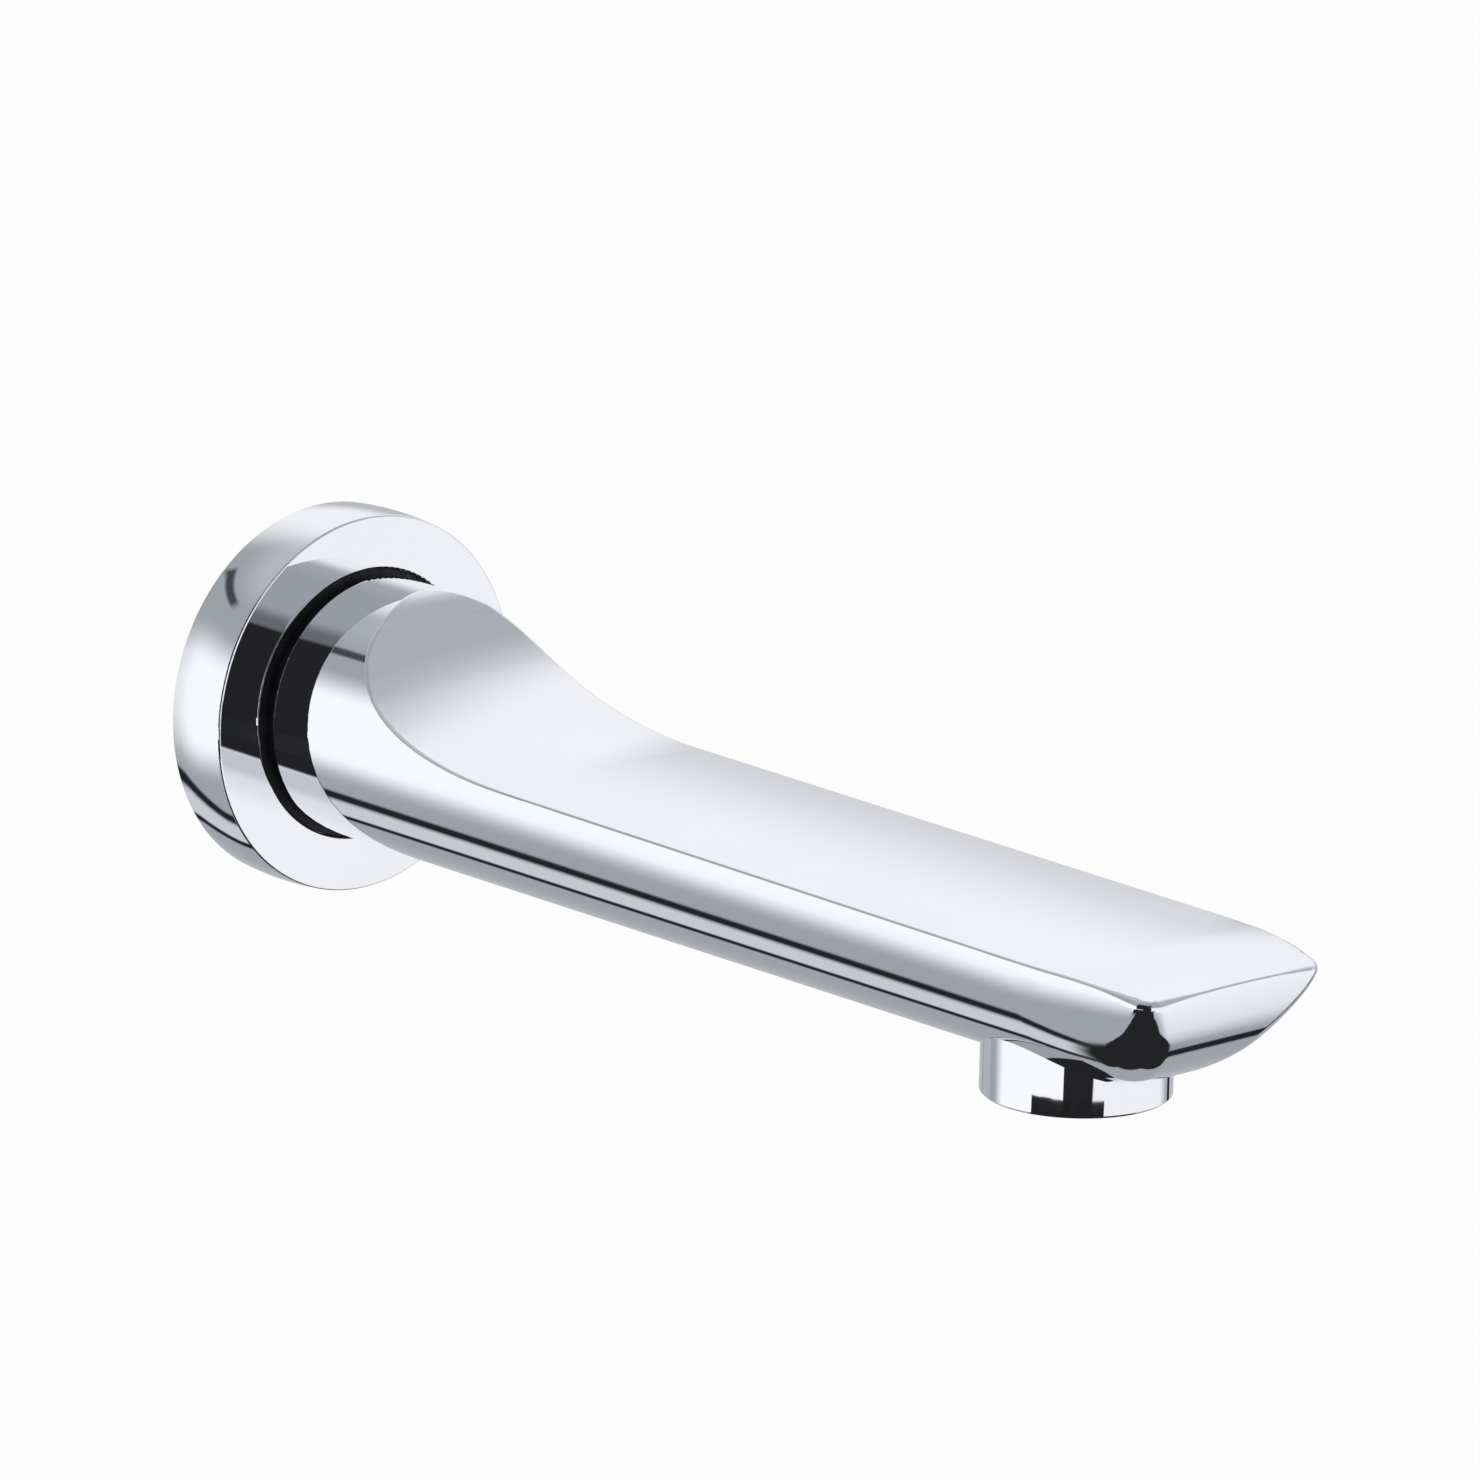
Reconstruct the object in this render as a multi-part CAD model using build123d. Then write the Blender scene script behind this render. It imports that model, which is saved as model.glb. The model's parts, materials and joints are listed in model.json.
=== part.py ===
from build123d import *
import math
import os

# Wall mounted bath spout, in millimetres.
# The origin is the centre of the flange's back, on the wall. +Z is up and the spout reaches out along -Y.
# A size whose name ends in OUT is a distance from the wall.

# Wall flange, a turned cup whose rim is slightly barrelled
FLANGE_D = 65.4
FLANGE_T = 12.0
FLANGE_BARREL = 0.3
FLANGE_FACE_WALL = 2.4
FLANGE_RIM_WALL = 3.9
FLANGE_HOLE_GAP = 0.85
FLANGE_EDGE_R = 0.4
COLLAR_WALL = 1.8
COLLAR_DEPTH = 8.0
COLLAR_LIP = 2.2
COLLAR_LIP_T = 1.4

# Wall gasket, in a seat inside the flange's back
GASKET_T = 3.0
GASKET_SEAT = 1.6
GASKET_W = 3.8

# Spout body, a hollow casting
BODY_D = 44.7
TAPER_LEAD = 2.0
TAPER_STEP = 3.0
BODY_WALL = 3.0
NECK_GAP = 1.8
NECK_STEP = 0.8
NECK_EDGE_R = 0.5
NECK_SEAT = 0.6
SEAL_RING_W = 5.2
SHANK_RECESS = 3.0
SHANK_ROOT = 2.0
CREASE_R = 0.6

# Side outline of the body along its middle: a lip, a swept scoop, a flat deck, a crown and a round nose
LIP_OUT = 29.6
LIP_Z = 18.6
LIP_R = 7.0
PULL_STEP = 3.4
PULL_DROP = 7.7
SWEEP = 28.0
DECK_OUT = 72.0
DECK_Z = 2.1
CROWN_OUT = 203.0
CROWN_Z = 1.1
NOSE_OUT = 222.3
NOSE_Z = -1.0
NOSE_R = 27.0
NOSE_CORNER_R = 4.0
CAMBER_R = 270.0
CAMBER_MARGIN = 2.0
OUTLINE_MARGIN = 0.02

# Outlet boss under the nose, with the aerator's thread inside
OUTLET_OUT = 186.2
OUTLET_D = 31.0
OUTLET_BOTTOM_Z = -27.2
OUTLET_TOP_Z = -12.5
OUTLET_THREAD_D = 24.0
OUTLET_SEAT_Z = -16.5
OUTLET_SEAT_D = 18.6
OUTLET_EDGE = 0.4

# Wall connector: a G 1/2 thread into the wall and a spigot that the body slides over
THREAD_D = 20.955
THREAD_L = 14.0
SPIGOT_D = 24.4
SPIGOT_END = 2.3
CONNECTOR_BORE_D = 11.0
KEY_AF = 12.0
KEY_DEPTH = 12.0
CONNECTOR_CHAMFER = 1.0
PASSAGE_D = 16.0
PASSAGE_L = 3.7

# Seals on the spigot, the first a step out from the grub screw and each next one a pitch further
O_RING_COUNT = 2
O_RING_STEP = 4.7
O_RING_PITCH = 3.9
O_RING_SECTION = 2.3
O_RING_GROOVE_W = 3.2
O_RING_GROOVE_DEPTH = 2.25

# Screw that locks the body on the spigot, from below
GRUB_D = 5.0
GRUB_STEP = 3.8
GRUB_SUNK = 0.9
GRUB_KEY_AF = 2.5
GRUB_KEY_DEPTH = 3.0
GRUB_DOG_D = 3.4
GRUB_DOG_L = 1.4
GRUB_GROOVE_W = 4.2
GRUB_GROOVE_DEPTH = 1.5

# Aerator cartridge, a stack inside the outlet
CARTRIDGE_SUNK = 0.8
HOUSING_WALL = 1.5
HOUSING_LIP = 0.9
HOUSING_LIP_T = 0.8
NOTCH_COUNT = 4
NOTCH_W = 2.2
NOTCH_DEPTH = 0.5
SEAL_T = 1.6
SEAL_W = 2.4
GRILLE_T = 2.4
GRILLE_RIM = 1.1
CELL_PITCH = 2.5
CELL_WALL = 0.5
DIFFUSER_T = 1.2
DIFFUSER_SKIRT = 0.9
JET_D = 1.3
JET_RING_RADII = (6.6, 3.6)
JET_COUNTS = (12, 6)
STRAINER_RIM_T = 1.4
STRAINER_T = 0.8
DOME_D = 15.0
DOME_RISE = 2.6
SIEVE_D = 1.3
SIEVE_RING_RADII = (5.6, 3.4, 1.3)
SIEVE_COUNTS = (14, 9, 3)

# Clearances
THREAD_GAP = 0.05
SLIDE_GAP = 0.1
SEAL_GAP = 0.05
SPIGOT_GAP = 0.8

# How far a cut runs past the face that it opens, and how closely an edge is found by its place
OVERCUT = 1.0
EDGE_FIT = 0.01

# Derived places
NECK_OUT = FLANGE_T + NECK_GAP
GRUB_OUT = NECK_OUT + GRUB_STEP
O_RING_OUTS = [GRUB_OUT + O_RING_STEP + i * O_RING_PITCH for i in range(O_RING_COUNT)]
SPIGOT_L = O_RING_OUTS[-1] + SPIGOT_END
SOCKET_END_OUT = SPIGOT_L + SPIGOT_GAP
BODY_INSIDE_OUT = SOCKET_END_OUT + PASSAGE_L
BODY_R = BODY_D / 2
FLANGE_HOLE_R = BODY_R + FLANGE_HOLE_GAP
SHANK_R = FLANGE_HOLE_R - SEAL_RING_W
NOSE_CENTRE_Z = NOSE_R - BODY_R - OUTLINE_MARGIN
NOSE_CENTRE_OUT = NOSE_OUT - math.sqrt(NOSE_R**2 - (NOSE_Z - NOSE_CENTRE_Z) ** 2)
TAPER_OUT = NOSE_CENTRE_OUT - TAPER_LEAD
CARTRIDGE_BOTTOM_Z = OUTLET_BOTTOM_Z + CARTRIDGE_SUNK
GRILLE_Z = CARTRIDGE_BOTTOM_Z + HOUSING_LIP_T
CARTRIDGE_TOP_Z = OUTLET_SEAT_Z - SEAL_T
STRAINER_Z = CARTRIDGE_TOP_Z - STRAINER_RIM_T
INSERT_R = OUTLET_THREAD_D / 2 - THREAD_GAP - HOUSING_WALL - SLIDE_GAP


def turned(points):
    """Solid turned about the Y axis from (radius, out) points."""
    outline = Polyline([(radius, -out) for radius, out in points], close=True)
    return revolve(make_face(outline), Axis.Y)


def along_y(radius, start_out, end_out):
    """Cylinder on the spout's axis between two distances from the wall."""
    plane = Plane((0, -start_out, 0), x_dir=(0, 0, 1), z_dir=(0, -1, 0))
    return Solid.make_cylinder(radius, end_out - start_out, plane)


def along_z(radius, bottom_z, top_z, x=0.0, out=OUTLET_OUT):
    """Upright cylinder, on the outlet's axis unless told otherwise."""
    return Solid.make_cylinder(radius, top_z - bottom_z, Plane((x, -out, bottom_z)))


def hexagon_bar(across_flats, length, plane):
    """Hexagonal bar standing on a plane."""
    return extrude(plane * RegularPolygon(across_flats / 2, 6, major_radius=False), length)


def inward(direction):
    """Unit normal that points into the body from a top edge that runs towards the nose."""
    return Vector(-direction.Y, direction.X)


def set_in(point, before, after, wall):
    """Corner moved into the body so that both its neighbours move in by the wall."""
    one = inward(before)
    other = inward(after)
    return point + (one + other) * (wall / (1 + one.dot(other)))


def side_outline(wall=0.0):
    """Side outline of the body, set in by a wall, as a face in the YZ plane.

    Its bottom lies just under the round bar that it cuts.
    """
    lip = Vector(-LIP_OUT, LIP_Z)
    pull = lip + Vector(-PULL_STEP, -PULL_DROP)
    deck = Vector(-DECK_OUT, DECK_Z)
    crown = Vector(-CROWN_OUT, CROWN_Z)
    along_deck = (crown - deck).normalized()
    land = deck - along_deck * SWEEP
    fall = (pull - lip).normalized()
    slope = (land - pull).normalized()
    lip_centre = lip + inward(fall) * LIP_R
    lip_r = LIP_R - wall
    lip_angle = math.degrees(math.atan2(lip.Y - lip_centre.Y, lip.X - lip_centre.X))
    lip = set_in(lip, fall, fall, wall)
    pull = set_in(pull, fall, slope, wall)
    land = set_in(land, slope, along_deck, wall)
    deck = set_in(deck, along_deck, along_deck, wall)
    crown = set_in(crown, along_deck, along_deck, wall)
    nose_r = NOSE_R - wall
    nose_rise = NOSE_Z - wall - NOSE_CENTRE_Z
    nose_reach = math.sqrt(nose_r**2 - nose_rise**2)
    nose_centre = Vector(-NOSE_CENTRE_OUT, NOSE_CENTRE_Z)
    nose_tip = nose_centre + Vector(-nose_reach, nose_rise)
    nose_angle = math.degrees(math.atan2(nose_rise, -nose_reach)) % 360
    top_z = lip_centre.Y + lip_r
    bottom_z = NOSE_CENTRE_Z - nose_r
    edges = [
        Line((-NECK_OUT, bottom_z), (-NECK_OUT, top_z)),
        Line((-NECK_OUT, top_z), (lip_centre.X, top_z)),
        CenterArc(lip_centre, lip_r, 90, lip_angle - 90),
        Bezier(lip, pull, land, deck),
        Line(deck, crown),
        TangentArc(crown, nose_tip, tangent=along_deck),
        CenterArc(nose_centre, nose_r, nose_angle, 270 - nose_angle),
        Line((nose_centre.X, bottom_z), (-NECK_OUT, bottom_z)),
    ]
    return Plane.YZ * make_face(edges)


def cambered(outline):
    """The side outline swept across the spout in a shallow arc, so that the deck sheds water."""
    axis = Axis((0, 0, -CAMBER_R), (0, 1, 0))
    half = math.degrees(math.asin((BODY_R + CAMBER_MARGIN) / (CAMBER_R - BODY_R)))
    return revolve(outline.rotate(axis, -half), axis, 2 * half)


def crosswise(edge):
    """True for an edge that runs straight across the spout behind the nose."""
    box = edge.bounding_box()
    return box.size.Y < CREASE_R / 10 and box.center().Y > CREASE_R - NOSE_OUT


def round_bar(wall=0.0, start_out=NECK_OUT):
    """Round bar, set in by a wall, that tapers a little in a long arc towards the nose."""
    radius = BODY_R - wall
    taper = (radius, -TAPER_OUT)
    end = (radius - TAPER_STEP, -NOSE_OUT)
    sides = [
        Polyline((0, -NOSE_OUT), (0, -start_out), (radius, -start_out), taper),
        TangentArc(taper, end, tangent=(0, -1)),
        Line(end, (0, -NOSE_OUT)),
    ]
    return revolve(make_face(sides), Axis.Y)


def nose_corners(form):
    """Edges where the round sides meet the front of the nose, below the deck."""
    edges = [e for e in form.edges() if e.center().Y < -TAPER_OUT and e.center().Z < -BODY_R / 3]
    return [e for e in edges if not crosswise(e)]


def body_form():
    """Outside of the body: a round bar cut to the side outline, with soft nose corners and a fine crease."""
    form = round_bar() & cambered(side_outline())
    form = fillet(nose_corners(form), NOSE_CORNER_R)
    rim = [e for e in form.edges() if e.center().Y < -NECK_OUT - NECK_EDGE_R]
    rim = [e for e in rim if e.center().Z > NOSE_Z - NOSE_CORNER_R / 2]
    form = fillet([e for e in rim if e.geom_type != GeomType.LINE and not crosswise(e)], CREASE_R)
    back = [e for e in form.edges() if abs(e.center().Y + NECK_OUT) < EDGE_FIT]
    return fillet(back, NECK_EDGE_R)


def body_inside():
    """Waterway: the same outline set in by the wall, behind a socket for the spigot."""
    channel = round_bar(BODY_WALL, BODY_INSIDE_OUT) & cambered(side_outline(BODY_WALL))
    channel = fillet(nose_corners(channel), NOSE_CORNER_R - BODY_WALL)
    socket = along_y(SPIGOT_D / 2 + SLIDE_GAP, 0, SOCKET_END_OUT)
    passage = along_y(PASSAGE_D / 2, 0, BODY_INSIDE_OUT + OVERCUT)
    return channel, socket + passage


def spout_body():
    channel, socket = body_inside()
    boss = along_z(OUTLET_D / 2, OUTLET_BOTTOM_Z, OUTLET_TOP_Z)
    bottom = boss.edges().sort_by(Axis.Z)[0]
    boss = chamfer(bottom, OUTLET_EDGE)
    shank = along_y(SHANK_R, SHANK_RECESS, NECK_OUT + SHANK_ROOT)
    form = body_form() - channel + boss + shank
    form -= socket
    form -= along_z(OUTLET_THREAD_D / 2, OUTLET_BOTTOM_Z - OVERCUT, OUTLET_SEAT_Z)
    form -= along_z(OUTLET_SEAT_D / 2, OUTLET_BOTTOM_Z - OVERCUT, OUTLET_TOP_Z + OVERCUT)
    form -= along_z(GRUB_D / 2 + THREAD_GAP, -BODY_R - OVERCUT, 0, out=GRUB_OUT)
    return form


def wall_flange():
    outer = FLANGE_D / 2 - FLANGE_BARREL
    seat = FLANGE_D / 2 - FLANGE_RIM_WALL + GASKET_SEAT
    inner = FLANGE_D / 2 - FLANGE_RIM_WALL
    hole = FLANGE_HOLE_R
    collar = hole + COLLAR_WALL
    back = FLANGE_T - FLANGE_FACE_WALL
    collar_out = FLANGE_T - COLLAR_DEPTH
    lip_out = collar_out + COLLAR_LIP_T
    inside = Polyline(
        (outer, 0), (seat, 0), (seat, -GASKET_T), (inner, -GASKET_T), (inner, -back), (collar, -back),
        (collar, -collar_out), (hole - COLLAR_LIP, -collar_out), (hole - COLLAR_LIP, -lip_out),
        (hole, -lip_out), (hole, -FLANGE_T), (outer, -FLANGE_T),
    )
    rim = ThreePointArc((outer, -FLANGE_T), (FLANGE_D / 2, -FLANGE_T / 2), (outer, 0))
    cup = revolve(make_face([inside, rim]), Axis.Y)
    front = [e for e in cup.edges() if abs(e.center().Y + FLANGE_T) < EDGE_FIT and e.radius > hole - EDGE_FIT]
    return fillet(front, FLANGE_EDGE_R)


def flange_seal_ring():
    """Rubber ring that fills the flange's hole and spaces the neck off the flange."""
    shank = SHANK_R + SEAL_GAP
    hole = FLANGE_HOLE_R - SEAL_GAP
    nose = BODY_R - NECK_EDGE_R - NECK_SEAT
    rear = FLANGE_T - COLLAR_DEPTH + COLLAR_LIP_T
    step = FLANGE_T - NECK_STEP
    points = [(shank, rear), (hole, rear), (hole, step), (nose, step), (nose, NECK_OUT), (shank, NECK_OUT)]
    return turned(points)


def wall_gasket():
    outer = FLANGE_D / 2 - FLANGE_RIM_WALL + GASKET_SEAT - SEAL_GAP
    return turned([(outer, 0), (outer, GASKET_T), (outer - GASKET_W, GASKET_T), (outer - GASKET_W, 0)])


def wall_connector():
    spigot = SPIGOT_D / 2
    thread = THREAD_D / 2
    rim = CONNECTOR_CHAMFER
    groove = spigot - O_RING_GROOVE_DEPTH
    half = O_RING_GROOVE_W / 2
    catch = spigot - GRUB_GROOVE_DEPTH
    catch_half = GRUB_GROOVE_W / 2
    points = [(0, -THREAD_L), (thread - rim, -THREAD_L), (thread, rim - THREAD_L), (thread, 0), (spigot, 0)]
    points += [(spigot, GRUB_OUT - catch_half), (catch, GRUB_OUT - catch_half)]
    points += [(catch, GRUB_OUT + catch_half), (spigot, GRUB_OUT + catch_half)]
    for out in O_RING_OUTS:
        points += [(spigot, out - half), (groove, out - half), (groove, out + half), (spigot, out + half)]
    points += [(spigot, SPIGOT_L - rim / 2), (spigot - rim / 2, SPIGOT_L), (0, SPIGOT_L)]
    bore = along_y(CONNECTOR_BORE_D / 2, -THREAD_L - OVERCUT, SPIGOT_L + OVERCUT)
    mouth = Plane((0, -SPIGOT_L, 0), x_dir=(1, 0, 0), z_dir=(0, 1, 0))
    return turned(points) - bore - hexagon_bar(KEY_AF, KEY_DEPTH, mouth)


def o_ring(out):
    """Round ring lying in its groove on the spigot."""
    centre = SPIGOT_D / 2 - O_RING_GROOVE_DEPTH + SEAL_GAP / 2 + O_RING_SECTION / 2
    section = Plane.XY * Pos(centre, -out) * Circle(O_RING_SECTION / 2)
    return revolve(section, Axis.Y)


def grub_screw():
    foot = -math.sqrt(BODY_R**2 - (GRUB_D / 2) ** 2) + GRUB_SUNK
    tip = -(SPIGOT_D / 2 - GRUB_GROOVE_DEPTH) - SLIDE_GAP
    shank = along_z(GRUB_D / 2, foot, tip - GRUB_DOG_L, out=GRUB_OUT)
    dog = along_z(GRUB_DOG_D / 2, tip - GRUB_DOG_L, tip, out=GRUB_OUT)
    key = hexagon_bar(GRUB_KEY_AF, GRUB_KEY_DEPTH, Plane((0, -GRUB_OUT, foot)))
    return shank + dog - key


def aerator_housing():
    """Threaded sleeve with an inward lip and key notches, sunk in the outlet."""
    outer = OUTLET_THREAD_D / 2 - THREAD_GAP
    inner = outer - HOUSING_WALL
    sleeve = along_z(outer, CARTRIDGE_BOTTOM_Z, CARTRIDGE_TOP_Z) - along_z(inner, GRILLE_Z, OUTLET_SEAT_Z)
    sleeve -= along_z(inner - HOUSING_LIP, CARTRIDGE_BOTTOM_Z - OVERCUT, GRILLE_Z + OVERCUT)
    centre = Pos(0, -OUTLET_OUT, CARTRIDGE_BOTTOM_Z)
    for i in range(NOTCH_COUNT):
        notch = Pos(inner, 0, 0) * Box(2 * (HOUSING_WALL + OVERCUT), NOTCH_W, 2 * NOTCH_DEPTH)
        sleeve -= centre * Rot(0, 0, 45 + 360 * i / NOTCH_COUNT) * notch
    return sleeve


def aerator_grille():
    """Disc of hexagonal cells that straightens the water."""
    disc = along_z(INSERT_R, GRILLE_Z, GRILLE_Z + GRILLE_T)
    reach = INSERT_R - GRILLE_RIM
    side = CELL_PITCH - CELL_WALL
    row_step = CELL_PITCH * math.sqrt(3) / 2
    rows = int(reach / row_step)
    spots = []
    for row in range(-rows, rows + 1):
        shift = CELL_PITCH / 2 if row % 2 else 0
        for column in range(-rows - 1, rows + 2):
            x = column * CELL_PITCH + shift
            y = row * row_step
            if math.hypot(x, y) + side / 2 < reach:
                spots.append((x, y))
    cells = [Pos(x, y) * RegularPolygon(side / 2, 6, major_radius=False, rotation=30) for x, y in spots]
    return disc - extrude(Plane((0, -OUTLET_OUT, GRILLE_Z)) * (Sketch() + cells), GRILLE_T)


def ring_spots(radii, counts):
    """Points evenly spread on rings about the outlet's axis."""
    for radius, count in zip(radii, counts):
        for i in range(count):
            angle = 2 * math.pi * i / count
            yield radius * math.cos(angle), radius * math.sin(angle)


def aerator_diffuser():
    """Plate of small jets on a skirt that stands on the grille."""
    bottom = GRILLE_Z + GRILLE_T
    plate_z = STRAINER_Z - DIFFUSER_T
    hollow = along_z(INSERT_R - DIFFUSER_SKIRT, bottom - OVERCUT, plate_z)
    plate = along_z(INSERT_R, bottom, STRAINER_Z) - hollow
    for x, y in ring_spots(JET_RING_RADII, JET_COUNTS):
        plate -= along_z(JET_D / 2, plate_z - OVERCUT, STRAINER_Z + OVERCUT, x, OUTLET_OUT - y)
    return plate


def aerator_strainer():
    """Domed sieve with a flat rim."""
    dome = DOME_D / 2
    ball = (dome**2 + DOME_RISE**2) / (2 * DOME_RISE)
    top = CARTRIDGE_TOP_Z
    centre = Pos(0, -OUTLET_OUT, top + DOME_RISE - ball)
    above = top + DOME_RISE + OVERCUT
    cap = centre * (Sphere(ball) - Sphere(ball - STRAINER_T)) & along_z(dome, top - STRAINER_T, above)
    rim = along_z(INSERT_R, STRAINER_Z, top) - along_z(dome - STRAINER_T, STRAINER_Z - OVERCUT, above)
    sieve = rim + cap
    for x, y in ring_spots(SIEVE_RING_RADII, SIEVE_COUNTS):
        sieve -= along_z(SIEVE_D / 2, STRAINER_Z - OVERCUT, above, x, OUTLET_OUT - y)
    return sieve


def aerator_seal():
    outer = OUTLET_THREAD_D / 2 - THREAD_GAP
    disc = along_z(outer, CARTRIDGE_TOP_Z, OUTLET_SEAT_Z)
    return disc - along_z(outer - SEAL_W, CARTRIDGE_TOP_Z, OUTLET_SEAT_Z)


def save(shape, name):
    shape.label = name
    export_step(shape, f"parts/{name}.step")


os.makedirs("parts", exist_ok=True)
save(spout_body(), "spout_body")
save(wall_flange(), "wall_flange")
save(flange_seal_ring(), "flange_seal_ring")
save(wall_gasket(), "wall_gasket")
save(wall_connector(), "wall_connector")
for number, ring_out in enumerate(O_RING_OUTS, start=1):
    save(o_ring(ring_out), f"connector_o_ring_{number}")
save(grub_screw(), "grub_screw")
save(aerator_housing(), "aerator_housing")
save(aerator_grille(), "aerator_grille")
save(aerator_diffuser(), "aerator_diffuser")
save(aerator_strainer(), "aerator_strainer")
save(aerator_seal(), "aerator_seal")
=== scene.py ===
import json
import math

import bmesh
import bpy
import numpy as np
from mathutils import Matrix, Vector


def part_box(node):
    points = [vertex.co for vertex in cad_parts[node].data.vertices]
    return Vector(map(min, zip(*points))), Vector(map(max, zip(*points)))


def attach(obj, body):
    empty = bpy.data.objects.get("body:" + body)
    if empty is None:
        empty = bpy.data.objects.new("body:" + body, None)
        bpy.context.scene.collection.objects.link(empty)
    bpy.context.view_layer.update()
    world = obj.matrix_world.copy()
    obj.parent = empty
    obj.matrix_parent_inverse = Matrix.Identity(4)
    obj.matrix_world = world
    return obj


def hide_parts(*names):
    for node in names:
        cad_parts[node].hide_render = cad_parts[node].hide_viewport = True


# Wall mounted bath spout in polished chrome, seen from its left side and a little above.
# Lengths are in metres, angles in degrees. "Out" is the distance from the wall, along -Y.
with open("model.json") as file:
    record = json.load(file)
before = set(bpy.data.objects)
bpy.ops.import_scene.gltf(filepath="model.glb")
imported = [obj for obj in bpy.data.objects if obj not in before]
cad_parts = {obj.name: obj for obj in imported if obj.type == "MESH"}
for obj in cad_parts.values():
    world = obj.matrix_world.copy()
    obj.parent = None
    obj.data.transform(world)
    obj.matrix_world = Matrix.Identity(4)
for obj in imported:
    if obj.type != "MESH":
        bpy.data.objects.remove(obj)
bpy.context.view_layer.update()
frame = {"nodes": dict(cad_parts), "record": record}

# Camera
LOOK_AT = Vector((0.0, -0.1054, 0.01354))
CAMERA_AZIMUTH = -42.69
CAMERA_ELEVATION = 15.09
CAMERA_ROLL = 1.27
CAMERA_DISTANCE = 2.0
CAMERA_REACH = 20.0
LENS = 297.96
SENSOR = 36.0

# Outside of the body at the nose, as in the solid
BODY_R = 0.02235
NOSE_OUT = 0.2223
NOSE_Z = -0.001
NOSE_R = 0.027
TAPER_LEAD = 0.002
TAPER_STEP = 0.003
CAMBER_R = 0.27
DECK_OUT = 0.072
DECK_Z = 0.0021
CROWN_OUT = 0.203
CROWN_Z = 0.0011
OUTLET_OUT = 0.1862
OUTLET_R = 0.0155
SOLID_CORNER_R = 0.004

# Rounding of the nose's corners, which grows with depth, and of the deck's edge, which is softer there
CORNER_R_TOP = 0.003
CORNER_R_LOW = 0.009
CORNER_DEPTHS = (0.001, 0.014)
CREASE_R = 0.0006
CREASE_R_CORNER = 0.0016
CREASE_SPREAD = 0.012

# How the copy of the body is moved onto that form
NOSE_START_OUT = 0.199
NOSE_GRID = 0.001
SKIN_REACH = 0.001
SLOPE_STEP = 2e-6
SETTLE_ROUNDS = 12
SETTLE_STEP = 0.001
LEAST_SLOPE_SQUARED = 0.05
LEAST_RISE = 0.2

# Pipe thread at the wall end of the connector
THREAD_R = 0.0104775
THREAD_PITCH = 0.001814
THREAD_DEPTH = 0.00116
THREAD_ROOT_R = 0.009
THREAD_START = 0.0006
THREAD_END = 0.014
THREAD_RING_STEP = 0.0002
THREAD_PLANES = 24
FLANK_STEEPNESS = 1.3
CREST_SHARE = 0.15
SHARP_ANGLE = 32

# Distances that count as none
MERGE_REACH = 1e-7
EDGE_REACH = 1e-5
TINY = 1e-9

# Values of a pattern at which a surface has its low and its high look
PATTERN_LOW = 0.3
PATTERN_HIGH = 0.7
# The phase of a wave texture runs this many times as fast as its place
WAVE_RATE = 20

# Pale floor, and the dark card round the outlet's front left
FLOOR_Z = -0.5
FLOOR_SIZE = 9.0
FLOOR_GLOW = 0.96
CARD_R = 0.16
CARD_START = -96.0
CARD_END = -12.0
CARD_STEPS = 28
CARD_DROP = 0.0408
CARD_H = 0.06

# Studio tones, as linear light
PURE_WHITE = (1.0, 1.0, 1.0)
WHITE = (1.0, 1.01, 1.05)
PALE = (0.92, 0.925, 0.96)
SILVER = (0.6, 0.615, 0.65)
ASH = (0.5, 0.515, 0.55)
MIST = (0.43, 0.445, 0.48)
GREY = (0.355, 0.375, 0.41)
DIM = (0.15, 0.155, 0.17)
DARK = (0.06, 0.064, 0.075)
BLACK = (0.018, 0.018, 0.02)

# Half the height over which the studio's floor fades into what stands on it
FLOOR_FADE = 1.5

# Sockets of a mix node that mixes colours
MIX_SHARE = 0
MIX_FIRST = 6
MIX_SECOND = 7
MIX_RESULT = 2


def add_object(name, data):
    item = bpy.data.objects.new(name, data)
    bpy.context.scene.collection.objects.link(item)
    return item


def make_camera():
    """Camera at its distance from what it looks at, rolled about its own line of view."""
    azimuth = math.radians(CAMERA_AZIMUTH)
    elevation = math.radians(CAMERA_ELEVATION)
    roll = math.radians(CAMERA_ROLL)
    flat = math.cos(elevation)
    back = Vector((math.sin(azimuth) * flat, -math.cos(azimuth) * flat, math.sin(elevation)))
    level_right = Vector((math.cos(azimuth), math.sin(azimuth), 0.0))
    level_up = back.cross(level_right)
    right = level_right * math.cos(roll) + level_up * math.sin(roll)
    up = level_up * math.cos(roll) - level_right * math.sin(roll)
    data = bpy.data.cameras.new("camera")
    data.lens = LENS
    data.sensor_width = SENSOR
    data.clip_end = CAMERA_REACH
    camera = add_object("camera", data)
    camera.matrix_world = Matrix((right, up, back)).transposed().to_4x4()
    camera.location = LOOK_AT + back * CAMERA_DISTANCE
    bpy.context.scene.camera = camera


def smooth(value, start, end):
    """0 at start, 1 at end, with no corner between."""
    share = np.clip((value - start) / (end - start), 0.0, 1.0)
    return share * share * (3.0 - 2.0 * share)


def rounded(one, other, radius):
    """Distance outside two overlapping forms, from the distance outside each, with their edge rounded."""
    both = np.hypot(np.maximum(one + radius, 0.0), np.maximum(other + radius, 0.0)) - radius
    return np.where((one > -radius) & (other > -radius), both, np.maximum(one, other))


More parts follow.
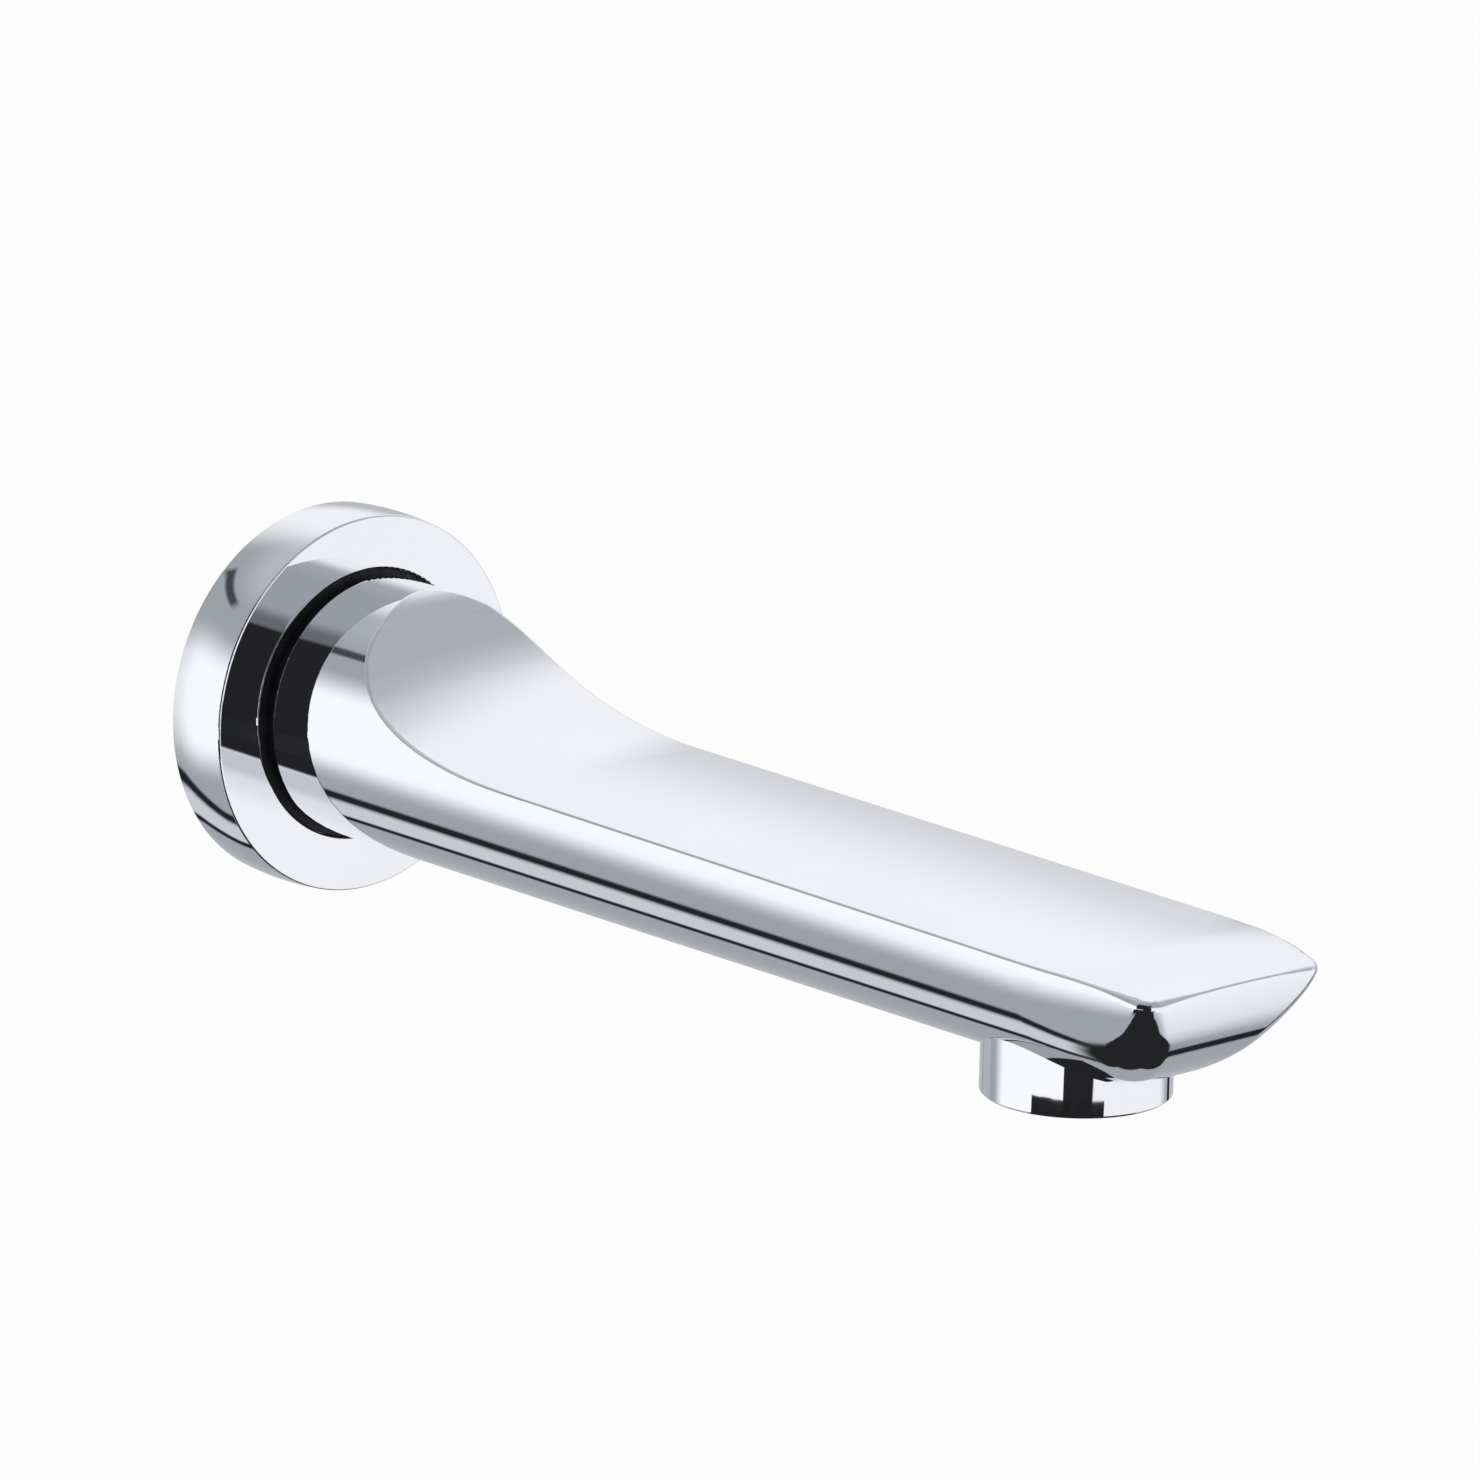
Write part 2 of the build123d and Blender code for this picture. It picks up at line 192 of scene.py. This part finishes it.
def deck_height(out):
    """Height of the deck along its middle: straight, then an arc from the crown down to the nose's tip."""
    slope = math.atan2(CROWN_Z - DECK_Z, CROWN_OUT - DECK_OUT)
    reach = NOSE_OUT - CROWN_OUT
    drop = CROWN_Z - NOSE_Z
    across = reach * math.cos(slope) - drop * math.sin(slope)
    down = drop * math.cos(slope) + reach * math.sin(slope)
    radius = (across**2 + down**2) / (2 * down)
    centre_out = CROWN_OUT + radius * math.sin(slope)
    centre_z = CROWN_Z - radius * math.cos(slope)
    arc = centre_z + np.sqrt(np.maximum(radius**2 - (out - centre_out) ** 2, 0.0))
    straight = DECK_Z + (out - DECK_OUT) * math.tan(slope)
    return np.where(out > CROWN_OUT, arc, straight)


def nose_distance(points, corner_top, corner_low, crease_corner):
    """Distance outside the body's form, near its nose."""
    x, out, z = points[:, 0], -points[:, 1], points[:, 2]
    # Tapered bar, and the front's arc, which is upright above its centre
    nose_centre_z = NOSE_R - BODY_R
    nose_centre_out = NOSE_OUT - math.sqrt(NOSE_R**2 - (NOSE_Z - nose_centre_z) ** 2)
    taper_out = nose_centre_out - TAPER_LEAD
    taper_r = ((NOSE_OUT - taper_out) ** 2 + TAPER_STEP**2) / (2 * TAPER_STEP)
    past = np.clip(out - taper_out, 0.0, taper_r)
    bar_r = BODY_R - taper_r + np.sqrt(taper_r**2 - past**2)
    width = np.hypot(x, z)
    side = width - bar_r
    reach = np.hypot(out - nose_centre_out, z - nose_centre_z)
    front = np.where((out > nose_centre_out) & (z < nose_centre_z), reach - NOSE_R, out - NOSE_OUT)
    # The corner between them needs no rounding where both face the same way
    alike = np.clip(z * (z - nose_centre_z) / np.maximum(width * reach, TINY), 0.0, 1.0)
    corner_r = corner_top + (corner_low - corner_top) * smooth(-z, *CORNER_DEPTHS)
    round_body = rounded(side, front, corner_r * (1.0 - alike))
    # Cambered deck, with its edge softer near the corners
    deck = np.hypot(x, z + CAMBER_R) - CAMBER_R - deck_height(out)
    near = smooth(side, -CREASE_SPREAD, 0.0) * smooth(out, NOSE_OUT - CREASE_SPREAD, NOSE_OUT)
    return rounded(round_body, deck, CREASE_R + (crease_corner - CREASE_R) * near)


def solid_nose(points):
    """Distance outside the nose that the solid has."""
    return nose_distance(points, SOLID_CORNER_R, SOLID_CORNER_R, CREASE_R)


def worn_nose(points):
    """Distance outside the nose with its softer corners."""
    return nose_distance(points, CORNER_R_TOP, CORNER_R_LOW, CREASE_R_CORNER)


def slope_of(form, points):
    """Direction in which the distance grows fastest, and how fast."""
    slopes = []
    for axis in range(3):
        move = np.zeros(3)
        move[axis] = SLOPE_STEP
        slopes.append((form(points + move) - form(points - move)) / (2 * SLOPE_STEP))
    return np.stack(slopes, axis=1)


def with_edges(faces):
    """Faces and all their edges and corners, each once and always in the same order."""
    edges = dict.fromkeys(edge for face in faces for edge in face.edges)
    verts = dict.fromkeys(vert for face in faces for vert in face.verts)
    return [*faces, *edges, *verts]


def cut_by_plane(work, part, point, across):
    """Cuts part of a mesh by the plane through a point, square to a direction."""
    return bmesh.ops.bisect_plane(work, geom=part, plane_co=point, plane_no=across)["geom"]


def triangulate(work, part):
    bmesh.ops.triangulate(work, faces=[item for item in part if isinstance(item, bmesh.types.BMFace)])


def slice_nose(mesh):
    """Cuts the nose's faces by an even grid of planes."""
    work = bmesh.new()
    work.from_mesh(mesh)
    faces = [face for face in work.faces if min(vert.co.y for vert in face.verts) < -NOSE_START_OUT]
    part = with_edges(faces)
    for axis, low, high in ((0, -BODY_R, BODY_R), (1, -NOSE_OUT, -NOSE_START_OUT), (2, -BODY_R, DECK_Z)):
        across = Vector()
        across[axis] = 1.0
        for i in range(1, round((high - low) / NOSE_GRID)):
            at = Vector()
            at[axis] = low + i * NOSE_GRID
            part = cut_by_plane(work, part, at, across)
    triangulate(work, part)
    work.to_mesh(mesh)
    work.free()


def read_vectors(items, name):
    """One vector of each item, as rows."""
    values = np.empty(len(items) * 3, dtype=np.float32)
    items.foreach_get(name, values)
    return values.reshape(-1, 3)


def settled(points, on_outlet):
    """Points moved onto the form: along its slope, or up and down where the outlet boss meets it."""
    for _ in range(SETTLE_ROUNDS):
        distance = worn_nose(points)
        slope = slope_of(worn_nose, points)
        steep = np.maximum((slope**2).sum(axis=1), LEAST_SLOPE_SQUARED)
        step = slope * (distance / steep)[:, None]
        rise = slope[:, 2]
        upright = np.where(abs(rise) > LEAST_RISE, distance / np.where(rise == 0, 1.0, rise), 0.0)
        step[on_outlet] = 0.0
        step[on_outlet, 2] = upright[on_outlet]
        points = points - np.clip(step, -SETTLE_STEP, SETTLE_STEP)
    return points


def soften_nose(mesh):
    """Moves the nose's skin onto the softer form. Returns all points, and which of them lie on it."""
    points = read_vectors(mesh.vertices, "co").astype(float)
    on_skin = (points[:, 1] < -NOSE_START_OUT) & (abs(solid_nose(points)) < SKIN_REACH)
    from_outlet = np.hypot(points[:, 0], points[:, 1] + OUTLET_OUT)
    on_outlet = on_skin & (from_outlet < OUTLET_R + EDGE_REACH) & (points[:, 2] < 0)
    points[on_skin] = settled(points[on_skin], on_outlet[on_skin])
    mesh.vertices.foreach_set("co", points.astype(np.float32).ravel())
    return points, on_skin & ~on_outlet


def make_body(solid, plate):
    """Copy of the body whose nose has softer corners, with its mesh normals worked out from the form."""
    mesh = solid.data.copy()
    kept = mesh.attributes.new("kept_normal", "FLOAT_VECTOR", "CORNER")
    normals = read_vectors(mesh.corner_normals, "vector")
    kept.data.foreach_set("vector", normals.ravel())
    slice_nose(mesh)
    points, on_form = soften_nose(mesh)
    slopes = np.zeros(points.shape)
    slopes[on_form] = slope_of(worn_nose, points[on_form])
    corner_verts = np.empty(len(mesh.loops), dtype=np.int32)
    mesh.loops.foreach_get("vertex_index", corner_verts)
    chosen = on_form[corner_verts]
    normals = read_vectors(mesh.attributes["kept_normal"].data, "vector")
    normals[chosen] = slopes[corner_verts[chosen]]
    normals /= np.maximum(np.linalg.norm(normals, axis=1), TINY)[:, None]
    mesh.attributes.remove(mesh.attributes["kept_normal"])
    mesh.normals_split_custom_set(normals)
    mesh.materials.clear()
    mesh.materials.append(plate)
    body = add_object("body_shell", mesh)
    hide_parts("spout_body")
    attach(body, "root")


def on_plain_end(vert):
    """Whether a corner lies on the outside of the connector's wall end."""
    return vert.co.y > -EDGE_REACH and math.hypot(vert.co.x, vert.co.z) > THREAD_ROOT_R


def thread_depth(place):
    """How deep the thread is cut at a place on the pipe."""
    along = place.y / THREAD_PITCH - math.atan2(place.z, place.x) / (2 * math.pi)
    flank = abs(2 * (along - math.floor(along)) - 1)
    start = min(max((place.y - THREAD_START) / THREAD_PITCH, 0.0), 1.0)
    return THREAD_DEPTH * start * min(max(FLANK_STEEPNESS * flank - CREST_SHARE, 0.0), 1.0)


def cut_thread(mesh):
    """Slices the plain end into rings and sectors, and moves their corners in to the thread's depth."""
    work = bmesh.new()
    work.from_mesh(mesh)
    bmesh.ops.remove_doubles(work, verts=work.verts, dist=MERGE_REACH)
    part = with_edges([face for face in work.faces if all(on_plain_end(vert) for vert in face.verts)])
    for i in range(1, round(THREAD_END / THREAD_RING_STEP)):
        part = cut_by_plane(work, part, (0.0, i * THREAD_RING_STEP, 0.0), (0.0, 1.0, 0.0))
    for i in range(THREAD_PLANES):
        turn = math.pi * i / THREAD_PLANES
        part = cut_by_plane(work, part, (0.0, 0.0, 0.0), (math.cos(turn), 0.0, math.sin(turn)))
    for vert in [item for item in part if isinstance(item, bmesh.types.BMVert)]:
        radius = math.hypot(vert.co.x, vert.co.z)
        wanted = min(radius, THREAD_R - thread_depth(vert.co))
        vert.co.x *= wanted / radius
        vert.co.z *= wanted / radius
    triangulate(work, part)
    work.to_mesh(mesh)
    work.free()


def make_connector(solid, brass):
    """Copy of the wall connector with its pipe thread cut into the plain end."""
    mesh = solid.data.copy()
    cut_thread(mesh)
    for name in ("custom_normal", "sharp_edge", "sharp_face"):
        if name in mesh.attributes:
            mesh.attributes.remove(mesh.attributes[name])
    mesh.shade_smooth()
    mesh.set_sharp_from_angle(angle=math.radians(SHARP_ANGLE))
    mesh.materials.clear()
    mesh.materials.append(brass)
    connector = add_object("threaded_connector", mesh)
    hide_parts("wall_connector")
    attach(connector, "root")


class Finish:
    """Material whose colour, roughness and relief come from patterns laid through the object."""

    def __init__(self, name, metallic):
        self.material = bpy.data.materials.new(name)
        self.material.use_nodes = True
        self.nodes = self.material.node_tree.nodes
        self.links = self.material.node_tree.links
        self.shader = self.nodes["Principled BSDF"]
        self.shader.inputs["Metallic"].default_value = metallic
        self.place = self.nodes.new("ShaderNodeTexCoord").outputs["Object"]
        self.normal = None

    def pattern(self, kind, scale, place=None):
        node = self.nodes.new(kind)
        node.inputs["Scale"].default_value = scale
        self.links.new(place or self.place, node.inputs["Vector"])
        return node

    def noise(self, scale, detail=3.0, place=None):
        node = self.pattern("ShaderNodeTexNoise", scale, place)
        node.inputs["Detail"].default_value = detail
        return node.outputs["Fac"]

    def cells(self, scale):
        return self.pattern("ShaderNodeTexVoronoi", scale).outputs["Distance"]

    def bands(self, direction, pitch):
        """Ridges across a direction, one in each pitch."""
        node = self.pattern("ShaderNodeTexWave", 2 * math.pi / WAVE_RATE / pitch)
        node.bands_direction = direction
        return node.outputs["Fac"]

    def stretched(self, x, y, z):
        node = self.nodes.new("ShaderNodeMapping")
        node.inputs["Scale"].default_value = (x, y, z)
        self.links.new(self.place, node.inputs["Vector"])
        return node.outputs["Vector"]

    def colour(self, value, low, high):
        """Runs from the low to the high colour as the pattern rises."""
        node = self.nodes.new("ShaderNodeValToRGB")
        node.color_ramp.elements[0].position = PATTERN_LOW
        node.color_ramp.elements[0].color = (*low, 1.0)
        node.color_ramp.elements[1].position = PATTERN_HIGH
        node.color_ramp.elements[1].color = (*high, 1.0)
        self.links.new(value, node.inputs["Fac"])
        self.links.new(node.outputs["Color"], self.shader.inputs["Base Color"])

    def roughness(self, value, low, high):
        """Runs from low to high as the pattern rises; high may be the smaller."""
        node = self.nodes.new("ShaderNodeMapRange")
        node.inputs["From Min"].default_value = PATTERN_LOW
        node.inputs["From Max"].default_value = PATTERN_HIGH
        node.inputs["To Min"].default_value = low
        node.inputs["To Max"].default_value = high
        self.links.new(value, node.inputs["Value"])
        self.links.new(node.outputs["Result"], self.shader.inputs["Roughness"])

    def relief(self, value, height):
        """Raises the surface by the pattern, over any relief that it already has."""
        node = self.nodes.new("ShaderNodeBump")
        node.inputs["Strength"].default_value = 1.0
        node.inputs["Distance"].default_value = height
        self.links.new(value, node.inputs["Height"])
        if self.normal:
            self.links.new(self.normal, node.inputs["Normal"])
        self.normal = node.outputs["Normal"]
        self.links.new(self.normal, self.shader.inputs["Normal"])

    def mixed(self, share, one, other):
        """Shader that is the one at share 0 and the other at share 1."""
        node = self.nodes.new("ShaderNodeMixShader")
        for socket, value in zip(node.inputs, (share, one, other)):
            self.links.new(value, socket)
        return node.outputs[0]


def polished_chrome():
    """Plated and polished, with the faint unevenness of a hand polished casting."""
    finish = Finish("polished_chrome", metallic=1.0)
    finish.colour(finish.noise(scale=30.0), low=(0.915, 0.925, 0.94), high=(0.94, 0.947, 0.957))
    finish.roughness(finish.noise(scale=260.0, detail=2.0), low=0.012, high=0.03)
    finish.relief(finish.noise(scale=55.0, detail=1.0), height=0.000004)
    return finish.material


def turned_brass():
    """Fine tool rings along the connector, over a slightly uneven colour."""
    finish = Finish("turned_brass", metallic=1.0)
    finish.colour(finish.noise(scale=70.0, detail=2.0), low=(0.71, 0.55, 0.29), high=(0.8, 0.64, 0.36))
    finish.roughness(finish.noise(scale=400.0), low=0.22, high=0.32)
    finish.relief(finish.bands("Y", pitch=0.0004), height=0.000006)
    return finish.material


def brushed_steel():
    """Fine lines along the piece."""
    finish = Finish("brushed_steel", metallic=1.0)
    lines = finish.noise(scale=300.0, detail=4.0, place=finish.stretched(8.0, 8.0, 1.0))
    finish.colour(lines, low=(0.48, 0.48, 0.49), high=(0.63, 0.63, 0.64))
    finish.roughness(lines, low=0.24, high=0.4)
    finish.relief(lines, height=0.00001)
    return finish.material


def moulded_rubber():
    """Dull black, with a fine grain."""
    finish = Finish("moulded_rubber", metallic=0.0)
    finish.colour(finish.noise(scale=350.0, detail=4.0), low=(0.014, 0.014, 0.016), high=(0.03, 0.03, 0.033))
    finish.roughness(finish.noise(scale=1200.0, detail=4.0), low=0.5, high=0.72)
    finish.relief(finish.noise(scale=2600.0), height=0.00003)
    return finish.material


def cellular_foam():
    """Closed cells cut open on the surface, their sunken middles darkened by painted shade."""
    finish = Finish("cellular_foam", metallic=0.0)
    pores_and_shade = finish.cells(scale=1500.0)
    # Colour darkens towards each cell's sunken middle: painted shade in the pores
    finish.colour(pores_and_shade, low=(0.05, 0.05, 0.054), high=(0.15, 0.15, 0.157))
    finish.roughness(pores_and_shade, low=0.95, high=0.78)
    finish.relief(pores_and_shade, height=0.00025)
    return finish.material


def moulded_plastic(name, low, high):
    """Satin plastic that runs between two colours."""
    finish = Finish(name, metallic=0.0)
    finish.colour(finish.noise(scale=120.0, detail=5.0), low, high)
    finish.roughness(finish.noise(scale=1500.0, detail=4.0), low=0.32, high=0.5)
    finish.relief(finish.noise(scale=3200.0, detail=2.0), height=0.000015)
    return finish.material


def dark_card():
    """Matt black board."""
    finish = Finish("dark_card", metallic=0.0)
    finish.colour(finish.noise(scale=40.0), low=(0.012, 0.012, 0.014), high=(0.02, 0.02, 0.022))
    finish.roughness(finish.noise(scale=200.0), low=0.85, high=1.0)
    return finish.material


def pale_floor():
    """Near white to the camera, with a faint shadow left, and clear when seen from below."""
    finish = Finish("pale_floor", metallic=0.0)
    finish.colour(finish.noise(scale=3.0, detail=1.0), low=(0.86, 0.86, 0.87), high=(0.9, 0.9, 0.91))
    finish.roughness(finish.noise(scale=8.0, detail=1.0), low=0.85, high=1.0)
    glow = finish.nodes.new("ShaderNodeEmission")
    glow.inputs["Color"].default_value = (*PURE_WHITE, 1.0)
    glow.inputs["Strength"].default_value = 1.0
    clear = finish.nodes.new("ShaderNodeBsdfTransparent")
    path = finish.nodes.new("ShaderNodeLightPath")
    share = finish.nodes.new("ShaderNodeMath")
    share.operation = "MULTIPLY"
    share.inputs[1].default_value = FLOOR_GLOW
    finish.links.new(path.outputs["Is Camera Ray"], share.inputs[0])
    lit = finish.mixed(share.outputs[0], finish.shader.outputs[0], glow.outputs[0])
    side = finish.nodes.new("ShaderNodeNewGeometry")
    seen = finish.mixed(side.outputs["Backfacing"], lit, clear.outputs[0])
    finish.links.new(seen, finish.nodes["Material Output"].inputs["Surface"])
    return finish.material


def finish_nodes():
    """Gives each solid the material of its slot, and returns the chrome and the brass."""
    slots = {
        "chrome_plate": polished_chrome(),
        "raw_brass": turned_brass(),
        "steel": brushed_steel(),
        "black_rubber": moulded_rubber(),
        "gasket_foam": cellular_foam(),
        "aerator_plastic": moulded_plastic("aerator_plastic", (0.74, 0.75, 0.76), (0.81, 0.82, 0.83)),
        "sieve_plastic": moulded_plastic("sieve_plastic", (0.38, 0.43, 0.46), (0.45, 0.5, 0.53)),
    }
    for subpart in frame["record"]["subparts"]:
        solid = frame["nodes"][subpart["node"]]
        for index in range(len(solid.data.materials)):
            solid.data.materials[index] = slots[subpart["material_slot"]]
    return slots["chrome_plate"], slots["raw_brass"]


class Studio:
    """World built from soft edged patches, each a range of azimuth and of elevation.

    Azimuth 0 looks away from the wall and 90 to the spout's right; elevation is above the horizon.
    A range is four angles: where it starts to show, shows in full, no longer shows in full, and ends.
    """

    def __init__(self, base):
        world = bpy.data.worlds.new("studio")
        bpy.context.scene.world = world
        world.use_nodes = True
        self.nodes = world.node_tree.nodes
        self.links = world.node_tree.links
        self.nodes.clear()
        place = self.nodes.new("ShaderNodeTexCoord")
        split = self.nodes.new("ShaderNodeSeparateXYZ")
        self.links.new(place.outputs["Generated"], split.inputs[0])
        outward = self.math("MULTIPLY", split.outputs["Y"], -1.0)
        turn = self.math("ARCTAN2", split.outputs["X"], outward)
        self.azimuth = self.math("DEGREES", turn)
        self.elevation = self.math("DEGREES", self.math("ARCSINE", split.outputs["Z"]))
        self.colour = self.rgb(base)

    def math(self, operation, *values):
        node = self.nodes.new("ShaderNodeMath")
        node.operation = operation
        for socket, value in zip(node.inputs, values):
            if isinstance(value, (int, float)):
                socket.default_value = value
            else:
                self.links.new(value, socket)
        return node.outputs[0]

    def rgb(self, colour):
        node = self.nodes.new("ShaderNodeRGB")
        node.outputs[0].default_value = (*colour, 1.0)
        return node.outputs[0]

    def ramp(self, value, start, end):
        """0 at start, 1 at end, smooth between; end may be below start."""
        node = self.nodes.new("ShaderNodeMapRange")
        node.interpolation_type = "SMOOTHSTEP"
        self.links.new(value, node.inputs["Value"])
        node.inputs["From Min"].default_value = min(start, end)
        node.inputs["From Max"].default_value = max(start, end)
        node.inputs["To Min"].default_value = 0.0 if start < end else 1.0
        node.inputs["To Max"].default_value = 1.0 if start < end else 0.0
        return node.outputs["Result"]

    def window(self, value, out_low, in_low, in_high, out_high):
        """1 inside a range, 0 outside it."""
        return self.math("MULTIPLY", self.ramp(value, out_low, in_low), self.ramp(value, out_high, in_high))

    def turned(self, centre):
        """Azimuth from a centre line, between -180 and 180."""
        return self.math("WRAP", self.math("SUBTRACT", self.azimuth, centre), 180.0, -180.0)

    def patch(self, colour, centre, across, up):
        """Mixes a colour in where azimuth from the centre is in across and elevation is in up."""
        beside = self.window(self.turned(centre), *across)
        level = self.window(self.elevation, *up)
        self.blend(colour, self.math("MULTIPLY", beside, level))

    def floor(self, colour, level, rises):
        """Mixes a colour in below an elevation, which rises by so many degrees around some centres."""
        for centre, across, rise in rises:
            raised = self.math("MULTIPLY", self.window(self.turned(centre), *across), rise)
            level = self.math("ADD", raised, level)
        above = self.math("SUBTRACT", self.elevation, level)
        self.blend(colour, self.ramp(above, FLOOR_FADE, -FLOOR_FADE))

    def blend(self, colour, mask):
        node = self.nodes.new("ShaderNodeMix")
        node.data_type = "RGBA"
        self.links.new(mask, node.inputs[MIX_SHARE])
        self.links.new(self.colour, node.inputs[MIX_FIRST])
        node.inputs[MIX_SECOND].default_value = (*colour, 1.0)
        self.colour = node.outputs[MIX_RESULT]

    def finish(self):
        """What the camera itself sees is plain white."""
        path = self.nodes.new("ShaderNodeLightPath")
        self.blend(PURE_WHITE, path.outputs["Is Camera Ray"])
        light = self.nodes.new("ShaderNodeBackground")
        out = self.nodes.new("ShaderNodeOutputWorld")
        self.links.new(self.colour, light.inputs["Color"])
        self.links.new(light.outputs[0], out.inputs["Surface"])


def make_studio():
    """Later patches lie over earlier ones."""
    studio = Studio(GREY)
    # Ceiling, and the wall behind on the right
    studio.patch(MIST, 70.0, (-44, -30, 40, 60), (20, 28, 60, 70))
    studio.patch(ASH, 178.0, (-62, -48, 48, 62), (36, 50, 90, 91))
    studio.patch(ASH, 138.0, (-50, -36, 16, 34), (-44, -20, 90, 91))
    # Left panel
    studio.patch(WHITE, -99.0, (-61, -41, 39, 61), (-37, -20, 10, 28))
    # Front right panel
    studio.patch(PALE, 28.0, (-62, -60, 44, 66), (-72, -32, 8, 26))
    # Overhead glow behind on the right
    studio.patch(PALE, 127.0, (-66, -14, 20, 50), (4, 20, 38, 62))
    # Back panel and its dark seams
    studio.patch(SILVER, 177.0, (-8, -4, 12, 16), (-58, -52, -24, -12))
    studio.patch(BLACK, 173.2, (-4, -1.3, 1.3, 4), (-60, -50, -30, -22))
    studio.patch(BLACK, -163.6, (-5, -1.8, 1.8, 5), (-60, -50, -30, -22))
    studio.patch(BLACK, 98.0, (-4.5, -2, 3, 6.5), (-70, -60, -14, -8))
    # Thin gap across the ceiling
    studio.patch(DARK, -162.0, (-14, -10, 10, 16), (33, 34.5, 36, 37.5))
    # Opening for the camera, with the shade beside its top and a low panel before its lower part
    studio.patch(DIM, -24.0, (-6, 0, 4, 16), (26, 34, 60, 70))
    studio.patch(BLACK, -42.0, (-18, -17, 16, 18.5), (-17.6, -17.5, 40, 50))
    studio.patch(BLACK, -66.0, (-26, -24, 24, 26), (-13, -12, 48, 58))
    studio.patch(SILVER, -22.0, (-9, -1, 8, 24), (-62, -56, -37, -30))
    studio.patch(BLACK, -61.5, (-35.5, -34.5, 34.5, 36.5), (-91, -90, -17.6, -17.5))
    # Dark floor, which stands higher in four places
    studio.floor(BLACK, -64.0, (
        (-94.0, (-36, -8, 60, 90), 14),
        (-172.0, (-30, -18, 12, 60), 12),
        (98.0, (-40, -10, 12, 26), 15.8),
        (-50.0, (-60, -40, 30, 62), 14),
    ))
    studio.finish()


def make_card():
    """Dark card near the outlet, seen only in the chrome. Its top edge shows part way up the outlet."""
    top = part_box("spout_body")[0][2] - CARD_DROP
    verts = []
    for i in range(CARD_STEPS + 1):
        turn = math.radians(CARD_START + (CARD_END - CARD_START) * i / CARD_STEPS)
        x = CARD_R * math.sin(turn)
        y = -OUTLET_OUT - CARD_R * math.cos(turn)
        verts.append((x, y, top))
        verts.append((x, y, top - CARD_H))
    faces = [(2 * i, 2 * i + 1, 2 * i + 3, 2 * i + 2) for i in range(CARD_STEPS)]
    mesh = bpy.data.meshes.new("card")
    mesh.from_pydata(verts, [], faces)
    mesh.materials.append(dark_card())
    card = add_object("card", mesh)
    card.visible_camera = False
    card.visible_diffuse = False
    card.visible_shadow = False


def make_floor():
    """Pale floor well below the spout, which the chrome doesn't show."""
    half = FLOOR_SIZE / 2
    corners = ((-half, -half), (half, -half), (half, half), (-half, half))
    mesh = bpy.data.meshes.new("floor")
    mesh.from_pydata([(x, y, FLOOR_Z) for x, y in corners], [], [(0, 1, 2, 3)])
    mesh.materials.append(pale_floor())
    floor = add_object("floor", mesh)
    floor.visible_glossy = False


make_camera()
plate, brass = finish_nodes()
make_body(frame["nodes"]["spout_body"], plate)
make_connector(frame["nodes"]["wall_connector"], brass)
make_floor()
make_card()
make_studio()
bpy.context.scene.view_settings.view_transform = "Standard"
